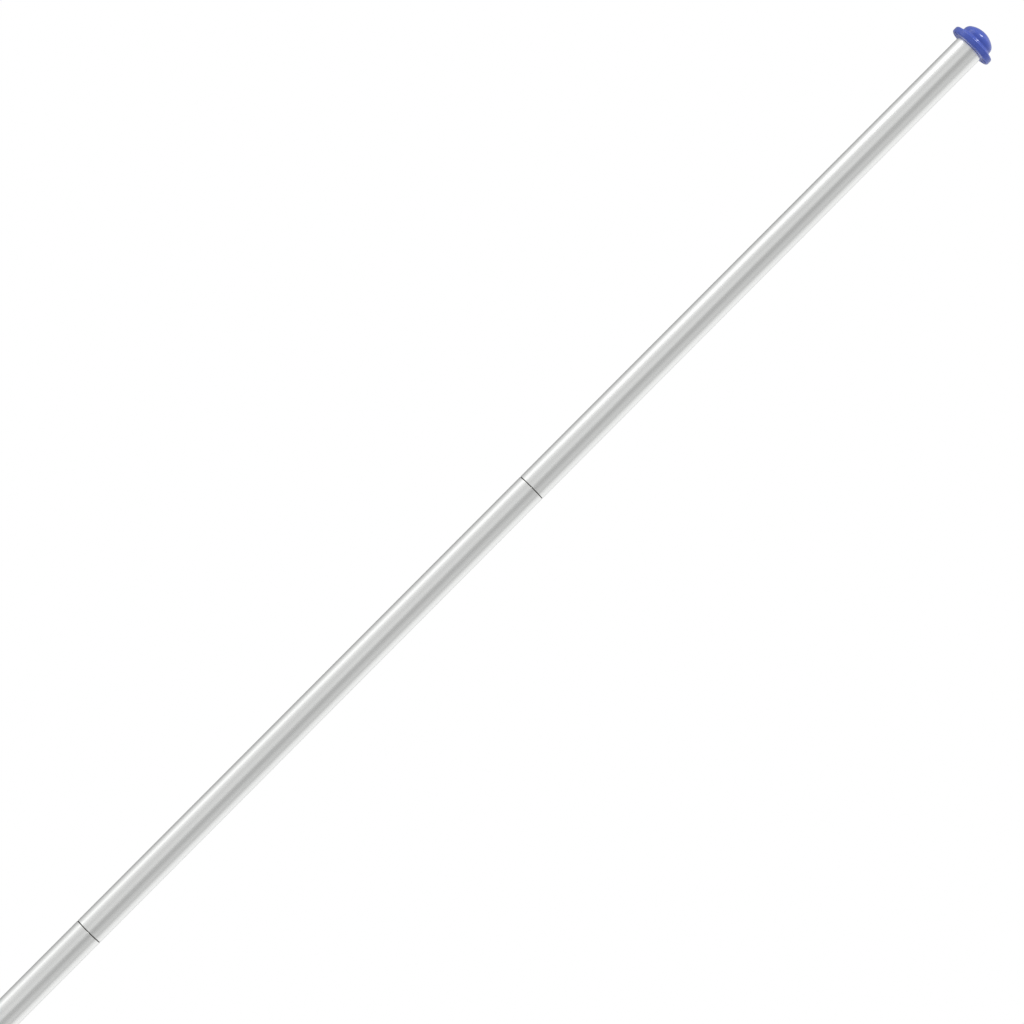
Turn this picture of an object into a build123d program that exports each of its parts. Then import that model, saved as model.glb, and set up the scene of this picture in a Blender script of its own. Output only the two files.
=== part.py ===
"""Sectional aluminium flagpole standing in its ground sleeve. Millimetres, +Z up.

The origin is the centre of the flat foot of the sleeve's end plug. Six tubes stand one in the
other, each by a swaged neck at its lower end. The top tube carries a domed cap with two rope
slots. The cleat is on the +X side, in line with one slot, and the halyard hangs from it in a
tied hank that carries the two snap hooks.
"""
import os
from math import atan2, cos, degrees, radians, sin, tan

from build123d import *

# Pole tubes
tube_od = 50.0
tube_wall = 1.2
tube_edge_round = 0.4
section_length = 1090.0
section_count = 6
neck_length = 90.0
neck_clearance = 0.1
shoulder_length = 1.5

# Ground sleeve and its end plug
sleeve_wall = 1.0
sleeve_edge_round = 0.3
sleeve_clearance = 0.25
sleeve_length = 810.0
plug_clearance = 0.1
plug_depth = 15.0
plug_foot = 5.0
plug_wall = 3.0
plug_floor = 3.0
plug_foot_round = 2.5

# Cap with its two rope slots
cap_od = 78.0
cap_rim_height = 11.5
cap_rim_round = 3.2
cap_crease_r = 32.8
cap_crease_rise = 1.0
cap_flare = 4.6
cap_dome_height = 17.4
cap_dome_knuckle = 12.0
cap_dome_wall = 2.2
cap_spigot_clearance = 0.1
cap_spigot_wall = 2.5
cap_spigot_length = 30.0
slot_offset = 31.8
slot_width = 6.3
slot_hole_spacing = 23.1
slot_edge_round = 0.3
saddle_foot = 2.0
saddle_crest = 9.5

# Cleat, its height counted from the joint below it
cleat_rise = 790.0
cleat_length = 127.0
cleat_base_length = 42.0
cleat_base_width = 14.0
cleat_base_thickness = 9.3
cleat_base_round = 1.2
cleat_seat_gap = 0.05
horn_diameter = 5.2
horn_root_spacing = 30.0
horn_bend_spacing = 60.0
horn_bend_reach = 21.0
horn_tip_reach = 24.5
horn_bend_round = 9.0
horn_root_sink = 1.0

# Screws
screw_diameter = 3.5
screw_hole_clearance = 0.05
screw_length = 12.0
screw_head_diameter = 7.0
screw_head_height = 2.4
screw_head_round = 1.4
screw_tip = 1.2
screw_recess_clearance = 0.3
screw_recess_depth = 2.6
cleat_screw_spacing = 16.0
cap_screw_drop = 15.0

# Snap hooks
hook_wire = 4.0
hook_eye_bore = 7.0
hook_length = 55.0
hook_width = 25.0
hook_neck_width = 4.8
hook_neck_drop = 7.2
hook_neck_bend_r = 3.2
hook_spine_bend_drop = 24.0
hook_spine_bend_r = 12.0
hook_foot_straight = 0.1
hook_nose = (6.8, -14.2)
hook_hinge_drop = 31.0
hook_tongue = 1.6
hook_tongue_clearance = 0.1
hook_end_gap = 0.5
hook_nose_tongue = 2.6
hook_lean = 12.0
rivet_diameter = 1.6
rivet_clearance = 0.05
rivet_head_diameter = 2.6
rivet_head_height = 0.35

# Halyard: rope, hank and its ties
rope_diameter = 6.0
rope_gap = 0.3
hank_drop = 72.0
hank_length = 360.0
hank_neck_r = 19.0
hank_neck_share = 0.255
hank_neck_end_share = 0.345
tie_turns = 3
hook_loop_corner = 11.0
bight_play = 0.2
bight_splay = 1.5
bight_rise = 0.45

# Hank outline above and below its neck: share of its length from the top, then its half width,
# half depth and gap behind, each over that of the neck
hank_fan = [(0.0, 1.26, 0.42, 1.2), (0.03, 1.9, 0.68, 1.2), (0.1, 1.68, 0.8, 1.06), (0.19, 1.2, 0.9, 1.0)]
hank_body = [
    (0.47, 1.42, 0.9, 0.76), (0.64, 1.79, 0.79, 0.45), (0.86, 1.84, 0.74, 0.25), (0.96, 1.5, 0.63, 0.3),
    (1.0, 0.84, 0.37, 0.6),
]

# Free end below the tie: offset forward, sideways and down from where it leaves
tail_offsets = [(0.0, -8.0, -4.2), (-0.4, -11.0, -17.0), (-2.5, -17.0, -31.0), (-6.0, -24.0, -45.0)]

# Worked out from the sizes above
tube_r = tube_od / 2
bore_r = tube_r - tube_wall
neck_r = bore_r - neck_clearance
exposed_length = section_length - neck_length
sleeve_ir = tube_r + sleeve_clearance
sleeve_or = sleeve_ir + sleeve_wall
plug_r = sleeve_ir - plug_clearance
pole_foot_z = plug_foot + plug_depth
pole_top_z = pole_foot_z + section_length + (section_count - 1) * exposed_length
rope_r = rope_diameter / 2
screw_r = screw_diameter / 2


def seam_z(number):
    """Height of the joint where this section (2 and up) stands on the one below."""
    return pole_foot_z + section_length + (number - 2) * exposed_length


cleat_height = seam_z(2) + cleat_rise


def save(part, name):
    """Label one finished piece and write it under its node name."""
    part.label = name
    export_step(part, f"parts/{name}.step")


def cylinder_between(plane, radius, start, end, mode=Mode.ADD):
    """A round bar or bore along the plane's normal, for use inside a part block."""
    with BuildSketch(plane.offset(start)) as disc:
        Circle(radius)
    extrude(disc.sketch, amount=end - start, mode=mode)


# Where the screws sit: each plane lies on its head's seat, its normal pointing out
cleat_front_x = tube_r + cleat_base_thickness
cleat_screw_seats = [
    Plane(
        origin=(cleat_front_x - screw_recess_depth, 0, cleat_height + side * cleat_screw_spacing / 2),
        z_dir=(1, 0, 0),
    )
    for side in (1, -1)
]
cap_screw_seat = Plane(
    origin=(0, tube_r + screw_hole_clearance, pole_top_z - cap_screw_drop), z_dir=(0, 1, 0)
)


def ground_sleeve():
    with BuildPart() as sleeve:
        with BuildSketch(Plane.XY.offset(plug_foot)):
            Circle(sleeve_or)
            Circle(sleeve_ir, mode=Mode.SUBTRACT)
        extrude(amount=sleeve_length)
        fillet(sleeve.edges().filter_by(GeomType.CIRCLE), radius=sleeve_edge_round)
    return sleeve.part


def sleeve_end_plug():
    """A cup pressed into the sleeve's foot, on whose rim the bottom tube stands."""
    with BuildPart() as plug:
        with BuildSketch(Plane.XY):
            Circle(plug_r)
        extrude(amount=plug_foot + plug_depth)
        with BuildSketch(Plane.XY.offset(plug_floor)):
            Circle(plug_r - plug_wall)
        extrude(amount=plug_foot + plug_depth - plug_floor, mode=Mode.SUBTRACT)
        fillet(plug.edges().group_by(Axis.Z)[0], radius=plug_foot_round)
    return plug.part


def pole_section(number):
    """One tube. All but the bottom one have a swaged neck below a short conical shoulder."""
    with BuildPart() as section:
        with BuildSketch(Plane.XZ):
            with BuildLine():
                if number == 1:
                    foot_z = pole_foot_z
                    Polyline(
                        (bore_r, foot_z), (tube_r, foot_z),
                        (tube_r, foot_z + section_length), (bore_r, foot_z + section_length),
                        close=True,
                    )
                else:
                    seam = seam_z(number)
                    shoulder = seam + shoulder_length
                    top = seam + exposed_length
                    Polyline(
                        (neck_r - tube_wall, seam - neck_length), (neck_r, seam - neck_length),
                        (neck_r, seam), (tube_r, shoulder), (tube_r, top), (bore_r, top),
                        (bore_r, shoulder), (neck_r - tube_wall, seam),
                        close=True,
                    )
            make_face()
        revolve(axis=Axis.Z)
        fillet(section.edges().group_by(Axis.Z)[-1], radius=tube_edge_round)
        fillet(section.edges().group_by(Axis.Z)[0], radius=tube_edge_round)
        for seat in screw_seats_of(number):
            cylinder_between(seat, screw_r + screw_hole_clearance, -screw_length, 0, Mode.SUBTRACT)
    return section.part


def screw_seats_of(number):
    """The screws that go through this section's wall, its neck's included."""
    low = pole_foot_z if number == 1 else seam_z(number) - neck_length
    high = low + section_length
    return [seat for seat in cleat_screw_seats + [cap_screw_seat] if low < seat.origin.Z < high]


def dome_line(base_r, base_z, height, knuckle):
    """Half a dome's profile: an upright knuckle arc, and a flatter crown arc tangent to it."""
    inset = base_r - knuckle
    crown = (inset**2 + height**2 - knuckle**2) / (2 * (height - knuckle))
    turn = degrees(atan2(crown - height, inset))
    CenterArc((inset, base_z), knuckle, 0, turn)
    CenterArc((0, base_z + height - crown), crown, turn, 90 - turn)


def truck_cap():
    """Domed cap with a thick rim, a spigot into the tube and two slots with rope saddles."""
    cap_r = cap_od / 2
    crease_z = pole_top_z + cap_rim_height + cap_crease_rise
    dome_z = crease_z + cap_flare
    dome_r = cap_crease_r - cap_flare
    spigot_r = bore_r - cap_spigot_clearance
    hollow_r = spigot_r - cap_spigot_wall
    rim_top_z = pole_top_z + cap_rim_height
    with BuildPart() as cap:
        with BuildSketch(Plane.XZ):
            with BuildLine():
                Polyline(
                    (0, dome_z + cap_dome_height), (0, pole_top_z - cap_spigot_length),
                    (spigot_r, pole_top_z - cap_spigot_length), (spigot_r, pole_top_z),
                    (cap_r - cap_rim_round, pole_top_z),
                )
                CenterArc((cap_r - cap_rim_round, pole_top_z + cap_rim_round), cap_rim_round, 270, 90)
                Line((cap_r, pole_top_z + cap_rim_round), (cap_r, rim_top_z - cap_rim_round))
                CenterArc((cap_r - cap_rim_round, rim_top_z - cap_rim_round), cap_rim_round, 0, 90)
                Line((cap_r - cap_rim_round, rim_top_z), (cap_crease_r, crease_z))
                CenterArc((cap_crease_r, dome_z), cap_flare, 180, 90)
                dome_line(dome_r, dome_z, cap_dome_height, cap_dome_knuckle)
            make_face()
        revolve(axis=Axis.Z)
        with BuildSketch(Plane.XZ):
            with BuildLine():
                Polyline(
                    (0, dome_z + cap_dome_height - cap_dome_wall), (0, pole_top_z - cap_spigot_length),
                    (hollow_r, pole_top_z - cap_spigot_length), (hollow_r, dome_z),
                )
                dome_line(hollow_r, dome_z, cap_dome_height - cap_dome_wall, cap_dome_knuckle - cap_dome_wall)
            make_face()
        revolve(axis=Axis.Z, mode=Mode.SUBTRACT)
        for side in (1, -1):
            with BuildSketch(Plane.XY.offset(pole_top_z)):
                with Locations((side * slot_offset, 0)):
                    SlotCenterToCenter(slot_hole_spacing, slot_width, rotation=90)
            extrude(amount=cap_rim_height + cap_crease_rise + cap_flare, mode=Mode.SUBTRACT)
            saddle_reach = (slot_hole_spacing - slot_width) / 2
            with BuildSketch(Plane.YZ.offset(side * slot_offset)):
                with BuildLine():
                    ThreePointArc(
                        (-saddle_reach, pole_top_z + saddle_foot), (0, pole_top_z + saddle_crest),
                        (saddle_reach, pole_top_z + saddle_foot),
                    )
                    Polyline(
                        (saddle_reach, pole_top_z + saddle_foot), (saddle_reach, pole_top_z),
                        (-saddle_reach, pole_top_z), (-saddle_reach, pole_top_z + saddle_foot),
                    )
                make_face()
            extrude(amount=slot_width / 2, both=True)
        mouths = [
            edge
            for edge in cap.edges().filter_by(GeomType.CIRCLE, reverse=True)
            if edge.center().Z > rim_top_z - cap_crease_rise
            and abs(edge.center().X) < slot_offset + slot_width / 2 + slot_edge_round
        ]
        fillet(mouths, radius=slot_edge_round)
        cylinder_between(cap_screw_seat, screw_r + screw_hole_clearance, -screw_length, 0, Mode.SUBTRACT)
    return cap.part


def cleat():
    """A saddle-backed base with round-ended outline, and one bar bent into both horns."""
    with BuildPart() as body:
        with BuildSketch(Plane(origin=(0, 0, cleat_height), x_dir=(0, 0, 1), z_dir=(1, 0, 0))):
            SlotOverall(cleat_base_length, cleat_base_width)
        extrude(amount=cleat_front_x)
        fillet(body.edges().group_by(Axis.X)[-1], radius=cleat_base_round)
        tip = cleat_length / 2 - horn_diameter / 2
        with BuildLine(Plane.XZ) as horns:
            FilletPolyline(
                (tube_r + horn_tip_reach, cleat_height + tip),
                (tube_r + horn_bend_reach, cleat_height + horn_bend_spacing / 2),
                (cleat_front_x - horn_root_sink, cleat_height + horn_root_spacing / 2),
                (cleat_front_x - horn_root_sink, cleat_height - horn_root_spacing / 2),
                (tube_r + horn_bend_reach, cleat_height - horn_bend_spacing / 2),
                (tube_r + horn_tip_reach, cleat_height - tip),
                radius=[horn_bend_round, horn_diameter, horn_diameter, horn_bend_round],
            )
        with BuildSketch(Plane(origin=horns.line @ 0, z_dir=horns.line % 0)):
            Circle(horn_diameter / 2)
        sweep(path=horns.line)
        with Locations(horns.line @ 0, horns.line @ 1):
            Sphere(horn_diameter / 2)
        cylinder_between(
            Plane.XY.offset(cleat_height), tube_r + cleat_seat_gap,
            -cleat_base_length, cleat_base_length, Mode.SUBTRACT,
        )
        for seat in cleat_screw_seats:
            cylinder_between(seat, screw_r + screw_hole_clearance, -screw_length, 0, Mode.SUBTRACT)
            recess_r = screw_head_diameter / 2 + screw_recess_clearance
            cylinder_between(seat, recess_r, 0, screw_recess_depth + horn_diameter, Mode.SUBTRACT)
    return body.part


def screw(seat):
    """A pan-head screw, its head's underside on the seat plane."""
    with BuildPart() as body:
        cylinder_between(seat, screw_r, -screw_length, 0)
        tip = body.faces().sort_by(lambda face: seat.to_local_coords(face.center()).Z)[0]
        chamfer(tip.edges(), length=screw_tip, length2=screw_tip / 2)
        cylinder_between(seat, screw_head_diameter / 2, 0, screw_head_height)
        crown = body.faces().sort_by(lambda face: seat.to_local_coords(face.center()).Z)[-1]
        fillet(crown.edges(), radius=screw_head_round)
    return body.part


# The hank hangs along the pole, with room behind its neck for one turn of its tie
neck_back_gap = rope_gap + rope_diameter + rope_gap
hank_x = tube_r + neck_back_gap + hank_neck_r
hank_top_z = cleat_height - hank_drop
tie_bottom_z = hank_top_z - hank_neck_share * hank_length - tie_turns * rope_diameter
hook_loop_z = tie_bottom_z - rope_gap - rope_r
tie_r = hank_neck_r + rope_diameter
hook_loop_reach = tie_r + rope_gap + hook_wire + rope_gap + rope_r


def rope_hank():
    """Outer shape of the looped rope, fanned at the top, tied at the neck, full below."""
    neck_shares = (hank_neck_share, (hank_neck_share + hank_neck_end_share) / 2, hank_neck_end_share)
    outline = hank_fan + [(share, 1.0, 1.0, 1.0) for share in neck_shares] + hank_body
    with BuildPart() as hank:
        for share, width, depth, gap in outline:
            with BuildSketch(Plane.XY.offset(hank_top_z - share * hank_length)):
                with Locations((tube_r + gap * neck_back_gap + depth * hank_neck_r, 0)):
                    Ellipse(depth * hank_neck_r, width * hank_neck_r)
        loft()
        cylinder_between(Plane((hank_x, 0, tie_bottom_z)), tie_r, 0, tie_turns * rope_diameter)
    return hank.part


def rope_hook_loop():
    """The last, looser turn of the tie, which stands off the neck at both sides."""
    loop_depth = hank_neck_r + rope_gap + rope_r
    with BuildPart() as loop:
        with BuildLine(Plane(origin=(hank_x, 0, hook_loop_z), z_dir=(0, 0, 1))) as path:
            inner_x = loop_depth - hook_loop_corner
            inner_y = hook_loop_reach - hook_loop_corner
            Line((loop_depth, -inner_y), (loop_depth, inner_y))
            CenterArc((inner_x, inner_y), hook_loop_corner, 0, 90)
            Line((inner_x, hook_loop_reach), (-inner_x, hook_loop_reach))
            CenterArc((-inner_x, inner_y), hook_loop_corner, 90, 90)
            Line((-loop_depth, inner_y), (-loop_depth, -inner_y))
            CenterArc((-inner_x, -inner_y), hook_loop_corner, 180, 90)
            Line((-inner_x, -hook_loop_reach), (inner_x, -hook_loop_reach))
            CenterArc((inner_x, -inner_y), hook_loop_corner, 270, 90)
        with BuildSketch(Plane(origin=path.line @ 0, z_dir=path.line % 0)):
            Circle(rope_r)
        sweep(path=path.wire())
    return loop.part


def rope_tube(name, points, radii):
    """One uncoiled stretch of the rope: straight runs joined by tangent arcs."""
    with BuildPart() as rope:
        with BuildLine() as route:
            FilletPolyline(*points, radius=radii)
        with BuildSketch(Plane(origin=route.line @ 0, z_dir=route.line % 0)):
            Circle(rope_r)
        sweep(path=route.line)
    print(f"{name}: length {route.wire().length:.0f}, radii " + ", ".join(f"{r:.1f}" for r in radii))
    return rope.part


def route_radii(points):
    """The largest arc that each corner's two runs allow, with some straight left between."""
    radii = []
    for before, corner, after in zip(points, points[1:], points[2:]):
        first = Vector(*corner) - Vector(*before)
        second = Vector(*after) - Vector(*corner)
        turn = radians(first.get_angle(second))
        radii.append(0.45 * min(first.length, second.length) / tan(turn / 2))
    return radii


# The halyard's hanging bight: up one side of the cleat's base, over it behind the horn, and down
bight_side = cleat_base_width / 2 + rope_gap + rope_r + bight_play
bight_x = tube_r + rope_gap + rope_r
bight_z = cleat_height + cleat_base_length / 2 + rope_gap + rope_r
bight_foot_x = tube_r + hank_fan[0][3] * neck_back_gap + hank_fan[0][2] * hank_neck_r
bight_foot_z = hank_top_z + bight_rise
bight_points = [
    (bight_foot_x, -bight_side - bight_splay, bight_foot_z),
    (bight_x, -bight_side, bight_z),
    (bight_x, bight_side, bight_z),
    (bight_foot_x, bight_side + bight_splay, bight_foot_z),
]

# The halyard's free end, lying on the front of the hank below its tie
tail_x = hank_x + hank_neck_r + rope_gap + rope_r
tail_points = [(tail_x + forward, across, hook_loop_z + down) for forward, across, down in tail_offsets]

# Snap hook outline, in the hook's own plane: its eye's centre is the origin, +y up
eye_line_r = (hook_eye_bore + hook_wire) / 2
body_half = (hook_width - hook_wire) / 2
foot_drop = hook_length - hook_eye_bore / 2 - hook_wire - hook_wire / 2
hinge_point = (body_half, -hook_hinge_drop)


def hook_plane(side):
    """The hook's plane, hung on the loop at this end and leaning out over the hank."""
    lean = radians(hook_lean)
    sag = hook_eye_bore / 2 - rope_r
    eye_y = side * (hook_loop_reach + sag * sin(lean))
    return Plane(
        origin=(hank_x, eye_y, hook_loop_z - sag * cos(lean)),
        x_dir=(0, side * cos(lean), sin(lean)),
        z_dir=(side, 0, 0),
    )


def hook_frame(plane):
    """One bent bar with its eye, and thin tongues where the gate is riveted and closes."""
    half_tongue = hook_tongue / 2
    foot_r = body_half - hook_foot_straight
    with BuildPart() as frame:
        with BuildLine(plane) as bar:
            FilletPolyline(
                hook_nose,
                (hook_neck_width / 2, -hook_neck_drop),
                (-hook_neck_width / 2, -hook_neck_drop),
                (-body_half, -hook_spine_bend_drop),
                (-body_half, -foot_drop),
                (body_half, -foot_drop),
                (body_half, -hook_hinge_drop - hook_wire / 2 - hook_end_gap),
                radius=[hook_neck_bend_r, hook_neck_bend_r, hook_spine_bend_r, foot_r, foot_r],
            )
        with BuildSketch(Plane(origin=bar.line @ 0, z_dir=bar.line % 0)):
            Circle(hook_wire / 2)
        sweep(path=bar.line)
        with BuildSketch(Plane(origin=plane.from_local_coords((eye_line_r, 0, 0)), z_dir=plane.y_dir)):
            Circle(hook_wire / 2)
        revolve(axis=Axis(plane.origin, plane.z_dir))
        gate_turn = gate_angle()
        with BuildSketch(plane):
            with Locations((body_half, -hook_hinge_drop - hook_wire / 2)):
                SlotCenterPoint((0, 0), (0, hook_wire / 2), hook_wire)
            with Locations(hook_nose):
                Rectangle(hook_wire, 2 * hook_nose_tongue, rotation=gate_turn)
        extrude(amount=half_tongue, both=True)
        cylinder_between(
            Plane(origin=plane.from_local_coords((*hinge_point, 0)), z_dir=plane.z_dir),
            rivet_diameter / 2 + rivet_clearance, -hook_wire, hook_wire, Mode.SUBTRACT,
        )
    return frame.part


def gate_angle():
    """How far the closed gate leans from the hook's upright, in degrees."""
    rise = Vector(hook_nose[0] - hinge_point[0], hook_nose[1] - hinge_point[1], 0)
    return rise.get_signed_angle(Vector(0, 1, 0), Vector(0, 0, -1))


def hook_gate(plane):
    """The gate bar, slotted at one end over the hinge tongue and at the other over the nose."""
    rise = Vector(hook_nose[0] - hinge_point[0], hook_nose[1] - hinge_point[1], 0)
    bar_length = rise.length - hook_end_gap
    along = rise.normalized() * bar_length
    tip = (hinge_point[0] + along.X, hinge_point[1] + along.Y)
    hinge_at = plane.from_local_coords((*hinge_point, 0))
    up = plane.from_local_coords((*tip, 0)) - hinge_at
    with BuildPart() as gate:
        cylinder_between(Plane(origin=hinge_at, z_dir=up), hook_wire / 2, 0, bar_length)
        with Locations(hinge_at):
            Sphere(hook_wire / 2)
        half_slot = hook_tongue / 2 + hook_tongue_clearance
        with BuildSketch(plane):
            with Locations(hinge_point):
                Rectangle(2 * hook_wire, 2 * hook_wire, rotation=gate_angle())
            with Locations(tip):
                Rectangle(2 * hook_wire, 2 * (hook_nose_tongue + hook_end_gap), rotation=gate_angle())
        extrude(amount=half_slot, both=True, mode=Mode.SUBTRACT)
        cylinder_between(
            Plane(origin=hinge_at, z_dir=plane.z_dir),
            rivet_diameter / 2 + rivet_clearance, -hook_wire, hook_wire, Mode.SUBTRACT,
        )
    return gate.part


def hook_rivet(plane):
    seat = Plane(origin=plane.from_local_coords((*hinge_point, 0)), z_dir=plane.z_dir)
    reach = hook_wire / 2 + rivet_clearance
    with BuildPart() as rivet:
        cylinder_between(seat, rivet_diameter / 2, -reach, reach)
        cylinder_between(seat, rivet_head_diameter / 2, reach, reach + rivet_head_height)
        cylinder_between(seat, rivet_head_diameter / 2, -reach - rivet_head_height, -reach)
    return rivet.part


os.makedirs("parts", exist_ok=True)
save(ground_sleeve(), "ground_sleeve")
save(sleeve_end_plug(), "sleeve_end_plug")
for number in range(1, section_count + 1):
    save(pole_section(number), f"pole_section_{number}")
save(truck_cap(), "truck_cap")
save(cleat(), "cleat")
save(screw(cleat_screw_seats[0]), "cleat_screw_upper")
save(screw(cleat_screw_seats[1]), "cleat_screw_lower")
save(screw(cap_screw_seat), "cap_screw")
save(rope_hank(), "rope_hank")
save(rope_hook_loop(), "rope_hook_loop")
save(rope_tube("rope_bight", bight_points, route_radii(bight_points)), "rope_bight")
save(rope_tube("rope_tail", tail_points, route_radii(tail_points)), "rope_tail")
for number, side in ((1, 1), (2, -1)):
    hung_on = hook_plane(side)
    save(hook_frame(hung_on), f"hook_{number}_frame")
    save(hook_gate(hung_on), f"hook_{number}_gate")
    save(hook_rivet(hung_on), f"hook_{number}_rivet")
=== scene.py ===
"""Sectional flagpole: finished surfaces, halyard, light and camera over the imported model. Metres, +Z up."""

from math import atan2, cos, hypot, pi, radians, sin

import bmesh
import bpy
import numpy as np
from mathutils import Matrix, Vector


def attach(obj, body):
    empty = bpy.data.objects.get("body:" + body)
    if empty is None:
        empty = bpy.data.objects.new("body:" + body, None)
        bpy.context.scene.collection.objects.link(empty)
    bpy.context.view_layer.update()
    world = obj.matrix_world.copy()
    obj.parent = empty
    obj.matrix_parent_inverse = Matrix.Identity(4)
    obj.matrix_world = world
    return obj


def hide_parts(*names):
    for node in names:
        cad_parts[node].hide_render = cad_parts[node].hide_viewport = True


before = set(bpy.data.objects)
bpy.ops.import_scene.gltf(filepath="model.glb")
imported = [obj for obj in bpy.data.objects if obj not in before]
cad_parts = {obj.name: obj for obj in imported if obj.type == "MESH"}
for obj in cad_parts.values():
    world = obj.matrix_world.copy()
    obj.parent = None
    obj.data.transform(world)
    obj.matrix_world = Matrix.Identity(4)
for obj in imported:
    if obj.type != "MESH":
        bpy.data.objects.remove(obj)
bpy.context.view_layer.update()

# Sizes shared with the part's source, in metres
tube_r = 0.025
tube_wall = 0.0012
bore_r = tube_r - tube_wall
neck_r = bore_r - 0.0001
neck_length = 0.090
shoulder_length = 0.0015
section_length = 1.090
exposed_length = 1.000
pole_foot_z = 0.020
first_seam_z = pole_foot_z + section_length
pole_top_z = 6.110
cleat_z = 1.900
rope_r = 0.003
rope_d = 2 * rope_r
neck_back = 0.0066
hank_neck_r = 0.019
hank_length = 0.360
hank_top_z = 1.828
neck_top = 0.255
neck_end = 0.345
hank_x = tube_r + neck_back + hank_neck_r
tie_top_z = hank_top_z - neck_top * hank_length
hook_loop_z = 1.7149
hook_loop_reach = 0.0326
hook_loop_depth = 0.0223

# Camera: looks slightly up at the upper pole, rolled so that the pole runs up to the right
image_px = 1024
film_width = 36.0
scale_px = 624.5
camera_away = 10.0
camera_rise = radians(-2.5)
camera_roll = radians(44.91)
seam_px = (531.0, 488.0)
seam_point = Vector((0, 0, first_seam_z + 4 * exposed_length))


def add_camera():
    ahead = Vector((0, cos(camera_rise), -sin(camera_rise)))
    level_right = Vector((1, 0, 0))
    level_up = level_right.cross(ahead)
    right = level_right * cos(camera_roll) + level_up * sin(camera_roll)
    up = level_up * cos(camera_roll) - level_right * sin(camera_roll)
    aside = (seam_px[0] - image_px / 2) / scale_px
    above = (image_px / 2 - seam_px[1]) / scale_px
    middle = seam_point - right * aside - up * above
    lens = bpy.data.cameras.new("camera")
    lens.sensor_width = film_width
    lens.lens = film_width * camera_away * scale_px / image_px
    lens.clip_start = 1.0
    lens.clip_end = 400.0
    camera = bpy.data.objects.new("camera", lens)
    turn = Matrix((right, up, -ahead)).transposed().to_4x4()
    camera.matrix_world = Matrix.Translation(middle - ahead * camera_away) @ turn
    bpy.context.scene.collection.objects.link(camera)
    bpy.context.scene.camera = camera


add_camera()


# Halyard. The bight over the cleat and the free end repeat the part's own route.
bight_side = 0.0105
bight_foot = np.array([0.0409, -0.0120, 1.82845])
bight_bend = np.array([0.0297, -bight_side, 1.9138])
bight_rise = bight_foot + np.linspace(0, 1, 18)[:, None] * (bight_bend - bight_foot)
bight_turn = np.linspace(0, pi, 8)[1:-1, None]
bight_over = (
    bight_bend * (1, 0, 1) + np.cos(bight_turn) * (0, -bight_side, 0)
    + np.sin(bight_turn) * (-0.0014, 0, bight_side)
)
bight = np.vstack([bight_rise, bight_over, bight_rise[::-1] * (1, -1, 1)])
tail = [
    (0.0729, -0.0080, 1.7107), (0.0725, -0.0110, 1.6979), (0.0704, -0.0170, 1.6839),
    (0.0669, -0.0240, 1.6699),
]

# Hank outline: share of its length from the top, half width, half depth and gap behind, each over the neck's
hank_outline = np.array([
    (0.0, 1.26, 0.42, 1.2), (0.03, 1.9, 0.68, 1.2), (0.1, 1.68, 0.8, 1.06), (0.19, 1.2, 0.9, 1.0),
    (neck_top, 1.0, 1.0, 1.0), (0.3, 1.0, 1.0, 1.0), (neck_end, 1.0, 1.0, 1.0),
    (0.47, 1.42, 0.9, 0.76), (0.64, 1.79, 0.79, 0.45), (0.86, 1.84, 0.74, 0.25), (0.96, 1.5, 0.63, 0.3),
    (1.0, 0.84, 0.37, 0.6),
])
turns = 16
step = 0.008
belly_half = 0.031
belly_span = (0.010, 0.0305)
belly_depth = 0.0105
belly_fold_share = 0.75
fan_reach = (0.004, 0.027)
fan_depth = 0.009
fan_half = 0.0105
fan_drop = 0.010
fan_play = 0.014
last_end_rise = 0.014
top_inset = 0.006
behind_share = 0.62
fold_width = 0.0135
fold_shares = np.array([0.75, 1.0, 1.0, 0.9, 0.7])

# How the strands settle: reach and share of a push, its limit,
# and the shares of smoothing and of pull to their places
near = 1.7 * rope_d
push_share = 0.42
push_limit = 0.0015
smooth_share = 0.35
pull_share = 0.02
rng = np.random.default_rng(7)


def hank_section(z):
    """Middle, half width and half depth of the hank at these heights."""
    share = np.clip((hank_top_z - np.asarray(z, float)) / hank_length, 0, 1)
    width, depth, gap = (np.interp(share, hank_outline[:, 0], hank_outline[:, k]) for k in (1, 2, 3))
    return tube_r + gap * neck_back + depth * hank_neck_r, width * hank_neck_r, depth * hank_neck_r


def neck_places(wanted):
    """Moves the strands' places at the neck apart until they lie side by side inside its round."""
    place = wanted.copy()
    room = hank_neck_r - rope_r
    for _ in range(400):
        apart = place[:, None] - place[None]
        far = np.linalg.norm(apart, axis=2) + np.eye(len(place))
        push = np.clip(rope_d * 0.985 - far, 0, None) * (1 - np.eye(len(place)))
        place += 0.45 * (apart / far[..., None] * push[..., None]).sum(1)
        out = np.linalg.norm(place, axis=1, keepdims=True)
        place *= np.minimum(1, room / np.maximum(out, 1e-9))
    return place


def strand(top, neck, belly, low, sway):
    """One strand down through the hank: (y, x offset) at the fan, neck and belly, to the height low."""
    z = np.arange(top[2], low, -step)
    share = (hank_top_z - z) / hank_length
    knots = [0.02, 0.13, neck_top - 0.01, neck_end + 0.01, 0.52, 0.75, 1.0]
    y = [top[0], top[0] * 0.86, neck[0], neck[0], 0.75 * belly[0] + sway[0], belly[0] - sway[0], belly[0]]
    x = [top[1], top[1], neck[1], neck[1], belly[1] + sway[1], belly[1] - sway[1], belly[1]]
    y, x = (np.interp(share, knots, v) for v in (y, x))
    for v in (y, x):
        for _ in range(6):
            v[1:-1] = (v[:-2] + 2 * v[1:-1] + v[2:]) / 4
    return np.stack([hank_section(z)[0] + x, y, z], axis=1)


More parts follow.
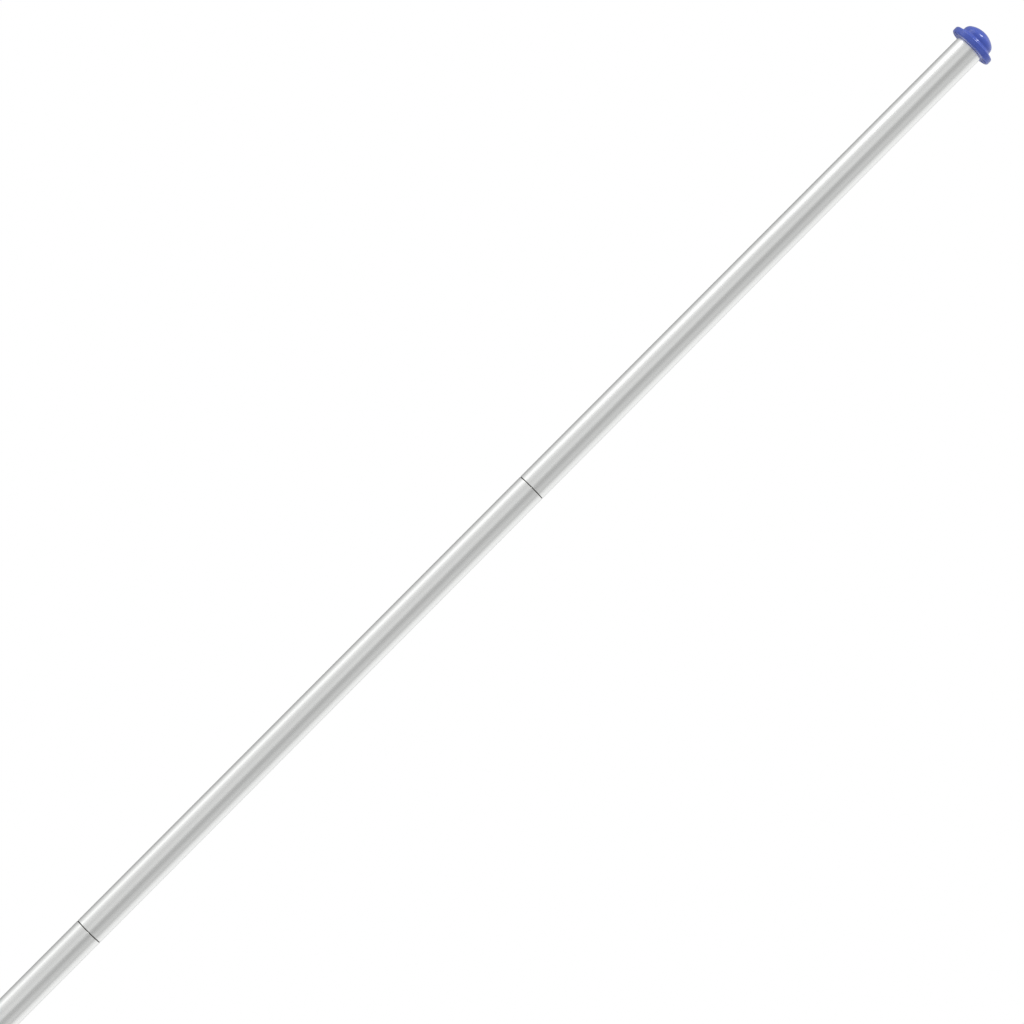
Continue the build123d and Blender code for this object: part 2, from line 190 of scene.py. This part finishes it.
def fold(start, end, height):
    """The points of a half turn between two strands' ends, bulging up or down by height."""
    middle, half = (start + end) / 2, (start - end) / 2
    count = 2 * max(2, int(round(pi * max(np.linalg.norm(half), abs(height)) / step / 2))) - 1
    angles = np.linspace(0, pi, count + 2)[1:-1, None]
    return middle + half * np.cos(angles) + np.array([0, 0, height]) * np.sin(angles)


def hank_turns():
    """The strand behind the hank, its turns as one line down to the tie, and where that line's folds are."""
    spans = rng.permutation(np.linspace(*belly_span, turns))
    depths = rng.permutation(np.linspace(-belly_depth, belly_depth, turns))
    fans = rng.permutation(np.linspace(*fan_reach, turns - 1))
    fan_depths = rng.permutation(np.linspace(-fan_depth, fan_depth, turns - 1))
    sides = np.where(np.arange(turns) % 2 == 0, 1.0, -1.0)
    belly, fan = [], []
    for k in range(turns):
        shift = rng.uniform(-1, 1) * (belly_half - spans[k])
        belly += [(shift + sides[k] * spans[k], depths[k]), (shift - sides[k] * spans[k], depths[k])]
    for k in range(turns - 1):
        turn = rng.uniform(-1.0, 1.0)
        half = fan_half * np.array([cos(turn), 0.6 * sin(turn)])
        middle = np.array([-sides[k] * fans[k], fan_depths[k]])
        leaning = 1 if middle[0] > 0 else -1
        fan += [middle + leaning * half * 0.9, middle - leaning * half * 0.9]
    fan = [np.array([0.012, -0.006])] + fan + [np.array([0.010 * -sides[-1], 0.011])]
    fan = np.array(fan)
    belly = np.array(belly)
    wanted = 0.5 * fan * (0.55, 0.9) + 0.5 * belly * (0.5, 1.2)
    wanted = np.vstack([wanted, [-0.008, -0.012]])
    neck = neck_places(wanted)
    tops = hank_top_z - fan_drop - rng.uniform(0, fan_play, turns - 1)
    line, last, crowns, count = [], None, [], 0
    for k in range(2 * turns):
        down = k % 2 == 0
        turn = k // 2
        low = (
            hank_top_z - hank_length + rope_r + 0.004 + 0.9 * (belly_span[1] - spans[turn])
            + spans[turn] * belly_fold_share
        )
        if k == 0:
            high = hank_top_z - top_inset
        elif k == 2 * turns - 1:
            high = tie_top_z + last_end_rise
        else:
            high = tops[(k - 1) // 2]
        sway = rng.uniform(-1, 1, 2) * (0.0045, 0.0015)
        run = strand((*fan[k], high), neck[k], belly[k], low, sway)
        run = run if down else run[::-1]
        if last is not None:
            bulge = -spans[turn] * belly_fold_share if not down else fan_half
            line.append(fold(last, run[0], bulge))
            crowns.append(count + len(line[-1]) // 2)
            count += len(line[-1])
        line.append(run)
        count += len(run)
        last = run[-1]
    behind = strand(
        (-0.012, -0.006, hank_top_z - top_inset), neck[-1], (-0.010, -0.009),
        hank_top_z - behind_share * hank_length, (0.0, 0.0),
    )
    return behind[::-1], np.vstack(line), np.array(crowns)


tie_start_drop = 0.0026
tie_fall = 0.0168


def tie_turns(start):
    """Three close turns round the neck and the looser one that carries the hooks, down to the free end."""
    first, last = atan2(start[1], start[0] - hank_x), -6 * pi
    whole = np.arange(first, last - 1e-6, -2 * pi / 20)
    share = (first - whole) / (first - last)
    reach = hank_neck_r + rope_r + 0.0002
    z = tie_top_z - tie_start_drop - tie_fall * share
    close = np.stack([hank_x + reach * np.cos(whole), reach * np.sin(whole), z], axis=1)
    around = np.arange(-2 * pi / 28, -2 * pi + 0.25, -2 * pi / 28)
    power = 3.2
    square = 1 / (np.abs(np.cos(around)) ** power + np.abs(np.sin(around)) ** power) ** (1 / power)
    sag = np.interp(-around, [0, pi / 2 - 0.35, pi / 2 + 0.35, pi, 1.5 * pi - 0.35, 1.5 * pi + 0.35, 2 * pi],
                    [0.0016, 0.0002, 0.0002, -0.0013, 0.0002, 0.0002, -0.0036])
    loose = np.stack([
        hank_x + hook_loop_depth * square * np.cos(around), hook_loop_reach * square * np.sin(around),
        hook_loop_z + sag,
    ], axis=1)
    return np.vstack([close, loose])


def close_pairs(points):
    """Index pairs of route points that are near each other without being neighbours along the rope."""
    square = (points**2).sum(1)
    far = square[:, None] + square[None] - 2 * points @ points.T
    return np.nonzero(np.triu(far < near**2, 4))


def settle(points, free, crowns, passes=240):
    """Lets the line's free points push apart until no stretch lies in another, inside the hank's outline.

    The points on both sides of each fold's crown keep the fold's width between them.
    """
    aim = points.copy()
    left, right = ((crowns[:, None] + side * np.arange(1, len(fold_shares) + 1)).ravel() for side in (-1, 1))
    room = np.tile(fold_width * fold_shares, len(crowns))
    for turn in range(passes):
        if turn % 8 == 0:
            one, other = close_pairs(points)
        apart = points[one] - points[other]
        far = np.linalg.norm(apart, axis=1) + 1e-9
        push = apart * (np.clip(rope_d - far, 0, None) / far)[:, None]
        shove = np.stack([
            np.bincount(one, push[:, k], len(points)) - np.bincount(other, push[:, k], len(points))
            for k in range(3)
        ], axis=1) * push_share
        shove *= np.minimum(1, push_limit / np.maximum(np.linalg.norm(shove, axis=1, keepdims=True), 1e-9))
        moved = points + shove
        apart = moved[left] - moved[right]
        far = np.linalg.norm(apart, axis=1)
        spread = apart * (np.clip(room - far, 0, None) / far / 2)[:, None]
        moved[left] += spread
        moved[right] -= spread
        even = moved.copy()
        even[1:-1] += smooth_share * ((moved[:-2] + 2 * moved[1:-1] + moved[2:]) / 4 - moved[1:-1])
        even += pull_share * (aim - moved)
        x, width, depth = hank_section(even[:, 2])
        off = np.stack([(even[:, 0] - x) / (depth - rope_r), even[:, 1] / (width - rope_r)], axis=1)
        out = np.maximum(1, np.linalg.norm(off, axis=1))
        even[:, 0] = x + (even[:, 0] - x) / out
        even[:, 1] /= out
        even[:, 2] = np.clip(even[:, 2], hank_top_z - hank_length + rope_r, hank_top_z - rope_r)
        points = np.where(free[:, None], even, points)
    return points


def ease(points, spacing=0.005, passes=4):
    """Spaces the line's points evenly and rounds its bends, with its ends left where they are."""
    reach = np.concatenate([[0], np.cumsum(np.linalg.norm(np.diff(points, axis=0), axis=1))])
    even = np.linspace(0, reach[-1], int(reach[-1] / spacing) + 1)
    points = np.stack([np.interp(even, reach, points[:, k]) for k in range(3)], axis=1)
    for _ in range(passes):
        kink = points[:-4] - 4 * points[1:-3] + 6 * points[2:-2] - 4 * points[3:-1] + points[4:]
        points[2:-2] -= kink / 16
    return points


def halyard_route():
    """The whole rope: up behind the hank, over the cleat, down through its turns, the tie and the tail."""
    behind, hank, crowns = hank_turns()
    wraps = tie_turns(hank[-1])
    line = np.vstack([behind, bight, hank, wraps, tail])
    free = np.zeros(len(line), bool)
    free[: len(behind) - 1] = True
    start = len(behind) + len(bight)
    free[start + 1 : start + len(hank)] = True
    line = settle(line, free, start + crowns)
    foot = len(behind) + 1
    return np.vstack([ease(line[:foot]), line[foot : start - 1], ease(line[start - 1 :])])


def spline_points(route, resolution):
    """The route as one NURBS curve, and the points that it runs through."""
    curve = bpy.data.curves.new("halyard_route", "CURVE")
    curve.dimensions = "3D"
    curve.resolution_u = resolution
    spline = curve.splines.new("NURBS")
    spline.points.add(len(route) - 1)
    for point, place in zip(spline.points, route):
        point.co = (*place, 1)
    spline.order_u = 3
    spline.use_endpoint_u = True
    holder = bpy.data.objects.new("halyard_route", curve)
    mesh = bpy.data.meshes.new_from_object(holder)
    line = [tuple(v.co) for v in mesh.vertices]
    bpy.data.meshes.remove(mesh)
    return holder, line


route = halyard_route()
route_curve, centreline = spline_points(route, 2)
measured = float(np.linalg.norm(np.diff(np.array(centreline), axis=0), axis=1).sum())
print("halyard: points", len(route), "length", round(measured, 3))


def rope_surface(holder):
    """The rope's round surface along its route, with a UV map round and along it."""
    curve = holder.data
    curve.bevel_depth = rope_r
    curve.bevel_resolution = 4
    curve.use_fill_caps = True
    mesh = bpy.data.meshes.new_from_object(holder)
    mesh.name = "halyard"
    bpy.data.objects.remove(holder)
    bpy.data.curves.remove(curve)
    for face in mesh.polygons:
        face.use_smooth = len(face.vertices) == 4
    return bpy.data.objects.new("halyard", mesh)


# Finishes
def finish_nodes(name):
    """A new material with its shader and the object's own coordinates."""
    material = bpy.data.materials.new(name)
    material.use_nodes = True
    nodes = material.node_tree.nodes
    shader = nodes["Principled BSDF"]
    place = nodes.new("ShaderNodeTexCoord")
    return material, nodes, material.node_tree.links, shader, place.outputs["Object"]


def grain(nodes, links, place, scale, stretch=(1, 1, 1), detail=3.0):
    """Noise of so many grains per metre, drawn out along the axes by stretch."""
    mapping = nodes.new("ShaderNodeMapping")
    mapping.inputs["Scale"].default_value = stretch
    links.new(place, mapping.inputs["Vector"])
    noise = nodes.new("ShaderNodeTexNoise")
    noise.inputs["Scale"].default_value = scale
    noise.inputs["Detail"].default_value = detail
    links.new(mapping.outputs["Vector"], noise.inputs["Vector"])
    return noise.outputs["Fac"]


def between(nodes, links, value, low, high, start=0.3, end=0.7):
    """Spreads a noise value over a range of roughness or height."""
    spread = nodes.new("ShaderNodeMapRange")
    for name, number in (("From Min", start), ("From Max", end), ("To Min", low), ("To Max", high)):
        spread.inputs[name].default_value = number
    links.new(value, spread.inputs["Value"])
    return spread.outputs["Result"]


def tint(nodes, links, value, first, second, start=0.3, end=0.7):
    """Blends two colours by a noise value."""
    ramp = nodes.new("ShaderNodeValToRGB")
    for element, place, colour in zip(ramp.color_ramp.elements, (start, end), (first, second)):
        element.position = place
        element.color = (*colour, 1)
    links.new(value, ramp.inputs["Fac"])
    return ramp.outputs["Color"]


def relief(nodes, links, shader, height, strength, distance):
    """Bumps the shader's surface by a height value."""
    bump = nodes.new("ShaderNodeBump")
    bump.inputs["Strength"].default_value = strength
    bump.inputs["Distance"].default_value = distance
    links.new(height, bump.inputs["Height"])
    links.new(bump.outputs["Normal"], shader.inputs["Normal"])


def calc(nodes, links, operation, first, second=None):
    """One sum on two values, each a socket or a number."""
    node = nodes.new("ShaderNodeMath")
    node.operation = operation
    for socket, value in zip(node.inputs, (first, second)):
        if isinstance(value, (int, float)):
            socket.default_value = value
        elif value is not None:
            links.new(value, socket)
    return node.outputs["Value"]


# Painted shade, with some dirt, in a narrow band at each joint: where it starts below the seam, and its
# height
shade_and_dirt_below = 0.0006
shade_and_dirt_height = 0.0020
cap_margin = 0.010


def joint_shade_and_dirt(nodes, links, place, colour):
    """The colour, darkened in a narrow band at each joint below the cap: painted shade of the groove there,
    with some dirt.
    """
    split = nodes.new("ShaderNodeSeparateXYZ")
    links.new(place, split.inputs["Vector"])
    value = split.outputs["Z"]
    steps = [
        ("MINIMUM", pole_top_z - cap_margin), ("SUBTRACT", first_seam_z - shade_and_dirt_below),
        ("FLOORED_MODULO", exposed_length), ("LESS_THAN", shade_and_dirt_height),
    ]
    for operation, number in steps:
        value = calc(nodes, links, operation, value, number)
    mix = nodes.new("ShaderNodeMix")
    mix.data_type = "RGBA"
    links.new(value, mix.inputs["Factor"])
    links.new(colour, mix.inputs["A"])
    # Dark grey of the painted shade and dirt at the joints
    mix.inputs["B"].default_value = (0.22, 0.22, 0.21, 1)
    return mix.outputs["Result"]


def drawn_aluminium():
    material, nodes, links, shader, place = finish_nodes("drawn aluminium")
    shader.inputs["Metallic"].default_value = 1.0
    lines = grain(nodes, links, place, 700, (1, 1, 0.012), 4.0)
    clouds = grain(nodes, links, place, 5, (1, 1, 0.5), 2.0)
    metal = tint(nodes, links, clouds, (0.78, 0.786, 0.777), (0.82, 0.826, 0.816))
    # Base colour with painted shade and some dirt at each joint
    links.new(joint_shade_and_dirt(nodes, links, place, metal), shader.inputs["Base Color"])
    links.new(between(nodes, links, lines, 0.23, 0.31), shader.inputs["Roughness"])
    relief(nodes, links, shader, lines, 0.08, 0.0001)
    return material


def moulded_blue():
    material, nodes, links, shader, place = finish_nodes("moulded blue plastic")
    clouds = grain(nodes, links, place, 60, detail=2.0)
    skin = grain(nodes, links, place, 300, detail=2.0)
    blue = tint(nodes, links, clouds, (0.061, 0.103, 0.47), (0.073, 0.121, 0.52))
    links.new(blue, shader.inputs["Base Color"])
    links.new(between(nodes, links, skin, 0.17, 0.23), shader.inputs["Roughness"])
    shader.inputs["Specular IOR Level"].default_value = 0.4
    return material


def extruded_green():
    material, nodes, links, shader, place = finish_nodes("extruded green plastic")
    lines = grain(nodes, links, place, 420, (1, 1, 0.01), 3.0)
    clouds = grain(nodes, links, place, 7, detail=2.0)
    green = tint(nodes, links, clouds, (0.003, 0.056, 0.055), (0.005, 0.066, 0.065))
    links.new(green, shader.inputs["Base Color"])
    links.new(between(nodes, links, lines, 0.20, 0.30), shader.inputs["Roughness"])
    shader.inputs["Specular IOR Level"].default_value = 0.2
    relief(nodes, links, shader, lines, 0.15, 0.0001)
    return material


def pale_plastic():
    material, nodes, links, shader, place = finish_nodes("pale plug plastic")
    clouds = grain(nodes, links, place, 90, detail=3.0)
    links.new(tint(nodes, links, clouds, (0.70, 0.72, 0.71), (0.80, 0.81, 0.80)), shader.inputs["Base Color"])
    links.new(between(nodes, links, clouds, 0.38, 0.50), shader.inputs["Roughness"])
    shader.inputs["Subsurface Weight"].default_value = 0.25
    shader.inputs["Subsurface Scale"].default_value = 0.004
    relief(nodes, links, shader, clouds, 0.10, 0.0002)
    return material


def cast_grey():
    material, nodes, links, shader, place = finish_nodes("grey cast metal")
    shader.inputs["Metallic"].default_value = 0.6
    sand = grain(nodes, links, place, 900, detail=4.0)
    clouds = grain(nodes, links, place, 80, detail=3.0)
    grey = tint(nodes, links, clouds, (0.20, 0.20, 0.195), (0.29, 0.29, 0.28))
    links.new(grey, shader.inputs["Base Color"])
    links.new(between(nodes, links, sand, 0.38, 0.54), shader.inputs["Roughness"])
    relief(nodes, links, shader, sand, 0.35, 0.0003)
    return material


def zinc_plate(name, colour, low, high):
    material, nodes, links, shader, place = finish_nodes(name)
    shader.inputs["Metallic"].default_value = 1.0
    clouds = grain(nodes, links, place, 160, detail=4.0)
    links.new(tint(nodes, links, clouds, [0.9 * v for v in colour], colour), shader.inputs["Base Color"])
    links.new(between(nodes, links, clouds, low, high), shader.inputs["Roughness"])
    relief(nodes, links, shader, clouds, 0.04, 0.0002)
    return material


aluminium = drawn_aluminium()
blue_plastic = moulded_blue()
green_plastic = extruded_green()
plug_plastic = pale_plastic()
cleat_grey = cast_grey()
hook_zinc = zinc_plate("bright zinc plate", (0.62, 0.62, 0.63), 0.24, 0.32)
screw_zinc = zinc_plate("screw zinc plate", (0.66, 0.66, 0.67), 0.22, 0.34)


plait_length = 0.0052
plaits_round = 4


def braided_white(length):
    """White braid: two sets of plaits that cross, from the rope's UV map (round it and along it), with
    painted shade in the hollows between the plaits.
    """
    material, nodes, links, shader, place = finish_nodes("white braid")
    uv = nodes.new("ShaderNodeUVMap")
    uv.uv_map = "UVMap"
    split = nodes.new("ShaderNodeSeparateXYZ")
    links.new(uv.outputs["UV"], split.inputs["Vector"])

    def sums(*steps):
        return calc(nodes, links, *steps)

    along = sums("MULTIPLY", split.outputs["X"], 2 * pi * length / plait_length)
    around = sums("MULTIPLY", split.outputs["Y"], 2 * pi * plaits_round)
    one = sums("SINE", sums("ADD", along, around))
    other = sums("SINE", sums("SUBTRACT", along, around))
    height = sums("ADD", sums("MULTIPLY", sums("MULTIPLY", one, other), 0.5), 0.5)
    yarn = grain(nodes, links, place, 2600, detail=2.0)
    surface = sums("ADD", height, sums("MULTIPLY", yarn, 0.35))
    # Base colour darker where the plaits lie low: painted shade in the braid's hollows
    white = tint(nodes, links, height, (0.76, 0.76, 0.75), (0.90, 0.90, 0.89), 0.0, 0.45)
    links.new(white, shader.inputs["Base Color"])
    shader.inputs["Roughness"].default_value = 0.72
    shader.inputs["Sheen Weight"].default_value = 0.25
    shader.inputs["Sheen Roughness"].default_value = 0.4
    relief(nodes, links, shader, surface, 0.55, 0.0005)
    return material


def dress(piece, material, body, slot_name, *nodes):
    """Gives a new piece its finish and its body, and hides the CAD nodes that it stands in for."""
    bpy.context.scene.collection.objects.link(piece)
    piece.data.materials.clear()
    piece.data.materials.append(material)
    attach(piece, body)
    if nodes:
        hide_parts(*nodes)
    return piece


halyard = dress(
    rope_surface(route_curve), braided_white(measured), "pole", "rope",
    "rope_hank", "rope_hook_loop", "rope_bight", "rope_tail",
)


def spun(name, profile, steps, rounds=()):
    """A closed profile of (radius, height) points, spun round the pole's axis, with some rims rounded."""
    bm = bmesh.new()
    corners = [bm.verts.new((r, 0, z)) for r, z in profile]
    for first, second in zip(corners, corners[1:] + corners[:1]):
        bm.edges.new((first, second))
    bmesh.ops.spin(
        bm, geom=bm.verts[:] + bm.edges[:], cent=(0, 0, 0), axis=(0, 0, 1), angle=2 * pi, steps=steps,
        use_merge=True,
    )
    bmesh.ops.remove_doubles(bm, verts=bm.verts, dist=1e-6)
    bmesh.ops.recalc_face_normals(bm, faces=bm.faces)
    for radius, height, size in rounds:
        rim = [
            edge for edge in bm.edges
            if all(
                abs(hypot(v.co.x, v.co.y) - radius) < 1e-5 and abs(v.co.z - height) < 1e-5 for v in edge.verts
            )
        ]
        bmesh.ops.bevel(bm, geom=rim, offset=size, segments=3, profile=0.5, affect="EDGES", material=-1)
    for face in bm.faces:
        face.smooth = True
    mesh = bpy.data.meshes.new(name)
    bm.to_mesh(mesh)
    bm.free()
    mesh.set_sharp_from_angle(angle=radians(40))
    return bpy.data.objects.new(name, mesh)


# Pole tubes. Rings close to their ends keep the long faces' shading straight.
guard = 0.0015
for number in range(1, 7):
    inside_neck = neck_r - tube_wall
    if number == 1:
        low, high = pole_foot_z, first_seam_z
        profile = [
            (bore_r, low), (tube_r, low), (tube_r, low + guard), (tube_r, high - guard), (tube_r, high),
            (bore_r, high),
        ]
        rounds = [(tube_r, low, 0.0004)]
    else:
        low = first_seam_z + (number - 2) * exposed_length
        high = low + exposed_length
        shoulder = low + shoulder_length
        profile = [
            (inside_neck, low - neck_length), (neck_r, low - neck_length), (neck_r, low), (tube_r, shoulder),
            (tube_r, shoulder + guard), (tube_r, high - guard), (tube_r, high), (bore_r, high),
            (bore_r, shoulder), (inside_neck, low),
        ]
        rounds = [(neck_r, low - neck_length, 0.0004), (tube_r, shoulder, 0.0004)]
    tube = spun(f"tube_{number}", profile, 96, rounds + [(tube_r, high, 0.0004), (bore_r, high, 0.0004)])
    dress(tube, aluminium, "pole", "pole_aluminium", f"pole_section_{number}")

# Ground sleeve and its end plug
sleeve_ir = 0.02525
sleeve_or = 0.02625
sleeve_low, sleeve_high = 0.005, 0.815
sleeve = spun(
    "sleeve_tube",
    [
        (sleeve_ir, sleeve_low), (sleeve_or, sleeve_low), (sleeve_or, sleeve_low + guard),
        (sleeve_or, sleeve_high - guard), (sleeve_or, sleeve_high), (sleeve_ir, sleeve_high),
    ], 96,
    [(r, z, 0.0003) for r in (sleeve_ir, sleeve_or) for z in (sleeve_low, sleeve_high)],
)
dress(sleeve, green_plastic, "root", "sleeve_plastic", "ground_sleeve")

# Screws
head_r = 0.0035
head_height = 0.0024
head_round = 0.0014
shank_r = 0.00175
shank_length = 0.012
tip_r = 0.00115
tip_start = 0.0108
recess_length = 0.0038
recess_width = 0.0009
recess_depth = 0.0013


def cross_screw(name, seat, out):
    """A pan-head screw with a cross recess: its head stands on the seat and points out."""
    crown = [
        (
            head_r - head_round + head_round * cos(radians(a)),
            head_height - head_round + head_round * sin(radians(a)),
        )
        for a in range(0, 91, 15)
    ]
    profile = [(0, -shank_length), (tip_r, -shank_length), (shank_r, -tip_start), (shank_r, 0), (head_r, 0)]
    piece = spun(name, profile + crown + [(0, head_height)], 48)
    bpy.context.scene.collection.objects.link(piece)
    bars = []
    for turn in (0, pi / 2):
        bm = bmesh.new()
        place = Matrix.Translation((0, 0, head_height)) @ Matrix.Rotation(turn, 4, "Z")
        size = Matrix.Diagonal((recess_length, recess_width, 2 * recess_depth, 1))
        bmesh.ops.create_cube(bm, size=1.0, matrix=place @ size)
        mesh = bpy.data.meshes.new("recess_bar")
        bm.to_mesh(mesh)
        bm.free()
        bars.append(bpy.data.objects.new("recess_bar", mesh))
        bpy.context.scene.collection.objects.link(bars[-1])
        cut = piece.modifiers.new("recess", "BOOLEAN")
        cut.object = bars[-1]
        cut.operation = "DIFFERENCE"
    mesh = bpy.data.meshes.new_from_object(piece.evaluated_get(bpy.context.evaluated_depsgraph_get()))
    for used in [piece] + bars:
        bpy.data.objects.remove(used)
    mesh.set_sharp_from_angle(angle=radians(40))
    mesh.transform(Matrix.Translation(seat) @ Vector(out).to_track_quat("Z", "Y").to_matrix().to_4x4())
    return bpy.data.objects.new(name, mesh)


for name, seat, out in (
    ("cleat_screw_upper", (0.0317, 0, cleat_z + 0.008), (1, 0, 0)),
    ("cleat_screw_lower", (0.0317, 0, cleat_z - 0.008), (1, 0, 0)),
    ("cap_screw", (0, 0.02505, pole_top_z - 0.015), (0, 1, 0)),
):
    dress(cross_screw(f"{name}_finished", seat, out), screw_zinc, "pole", "screw_steel", name)

# Finishes of the pieces that stay as modelled in the part
for name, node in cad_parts.items():
    finish = (
        blue_plastic if name == "truck_cap" else plug_plastic if name == "sleeve_end_plug"
        else cleat_grey if name == "cleat" else hook_zinc if name.startswith("hook_") else None
    )
    if finish:
        node.data.materials.clear()
        node.data.materials.append(finish)


# Studio: a pale floor under the pole, white surroundings and two soft distant lamps
floor_half = 4.0


def add_floor():
    bm = bmesh.new()
    bmesh.ops.create_grid(bm, x_segments=1, y_segments=1, size=floor_half)
    mesh = bpy.data.meshes.new("floor")
    bm.to_mesh(mesh)
    bm.free()
    floor = bpy.data.objects.new("floor", mesh)
    material, nodes, links, shader, place = finish_nodes("pale floor")
    links.new(
        tint(nodes, links, grain(nodes, links, place, 3), (0.855, 0.855, 0.855), (0.868, 0.868, 0.868)),
        shader.inputs["Base Color"],
    )
    shader.inputs["Roughness"].default_value = 0.8
    mesh.materials.append(material)
    bpy.context.scene.collection.objects.link(floor)


def add_lamp(name, strength, azimuth, elevation, width):
    """A distant soft lamp; azimuth 0 is behind the camera, 90 on its left."""
    light = bpy.data.lights.new(name, "SUN")
    light.energy = strength
    light.angle = radians(width)
    lamp = bpy.data.objects.new(name, light)
    a, e = radians(azimuth), radians(elevation)
    towards = Vector((-sin(a) * cos(e), -cos(a) * cos(e), sin(e)))
    lamp.rotation_mode = "QUATERNION"
    lamp.rotation_quaternion = towards.to_track_quat("Z", "Y")
    bpy.context.scene.collection.objects.link(lamp)


# Brightness of the surroundings as polished surfaces show them, by bearing.
# 0 is behind the camera and 90 is on its left. The 15 pairs from -119 to 135 weren't chosen by hand: each
# stands for one place across the tube in the photograph, which gives its bearing, and a program
# fitted its tone to the grey level read there. The other five were set one by one.
tones = [
    (-180, 0.22), (-160, 0.50), (-142, 0.66), (-119, 0.68), (-94, 0.60), (-74, 0.38), (-57, 0.45),
    (-41, 0.39), (-26, 0.31), (-11, 0.33), (4, 0.53), (18, 0.51), (33, 0.45), (49, 0.50), (65, 0.55),
    (84, 0.85), (105, 0.56), (135, 0.34), (160, 0.24), (180, 0.22),
]
polished_strength = 1.6
even_strength = 0.62


def add_surroundings():
    """White to the camera, the tones above in polished surfaces, and an even light on the rest."""
    world = bpy.data.worlds.new("studio")
    bpy.context.scene.world = world
    world.use_nodes = True
    nodes, links = world.node_tree.nodes, world.node_tree.links
    nodes.clear()
    out = nodes.new("ShaderNodeOutputWorld")
    ray = nodes.new("ShaderNodeLightPath")
    place = nodes.new("ShaderNodeTexCoord")
    split = nodes.new("ShaderNodeSeparateXYZ")
    links.new(place.outputs["Generated"], split.inputs["Vector"])
    behind = calc(nodes, links, "MULTIPLY", split.outputs["Y"], -1.0)
    left = calc(nodes, links, "MULTIPLY", split.outputs["X"], -1.0)
    bearing = calc(nodes, links, "ARCTAN2", left, behind)
    ramp = nodes.new("ShaderNodeValToRGB")
    ramp.color_ramp.interpolation = "EASE"
    while len(ramp.color_ramp.elements) < len(tones):
        ramp.color_ramp.elements.new(0.5)
    for element, (angle, tone) in zip(ramp.color_ramp.elements, tones):
        element.position = (angle + 180) / 360
        element.color = (tone, tone, tone, 1)
    links.new(between(nodes, links, bearing, 0.0, 1.0, -pi, pi), ramp.inputs["Fac"])

    def background(strength, colour=None):
        shader = nodes.new("ShaderNodeBackground")
        shader.inputs["Color"].default_value = (1, 1, 1, 1)
        shader.inputs["Strength"].default_value = strength
        if colour:
            links.new(colour, shader.inputs["Color"])
        return shader.outputs["Background"]

    def choose(share, first, second):
        mix = nodes.new("ShaderNodeMixShader")
        for socket, value in zip(mix.inputs, (share, first, second)):
            links.new(value, socket)
        return mix.outputs["Shader"]

    lighting = choose(
        ray.outputs["Is Glossy Ray"], background(even_strength),
        background(polished_strength, ramp.outputs["Color"]),
    )
    direct = calc(nodes, links, "MAXIMUM", ray.outputs["Is Camera Ray"], ray.outputs["Is Transmission Ray"])
    links.new(choose(direct, lighting, background(1.0)), out.inputs["Surface"])


add_floor()
add_surroundings()
add_lamp("overhead", 1.5, 5, 78, 14)
add_lamp("side", 0.4, 76, 28, 40)
bpy.context.scene.view_settings.view_transform = "Standard"
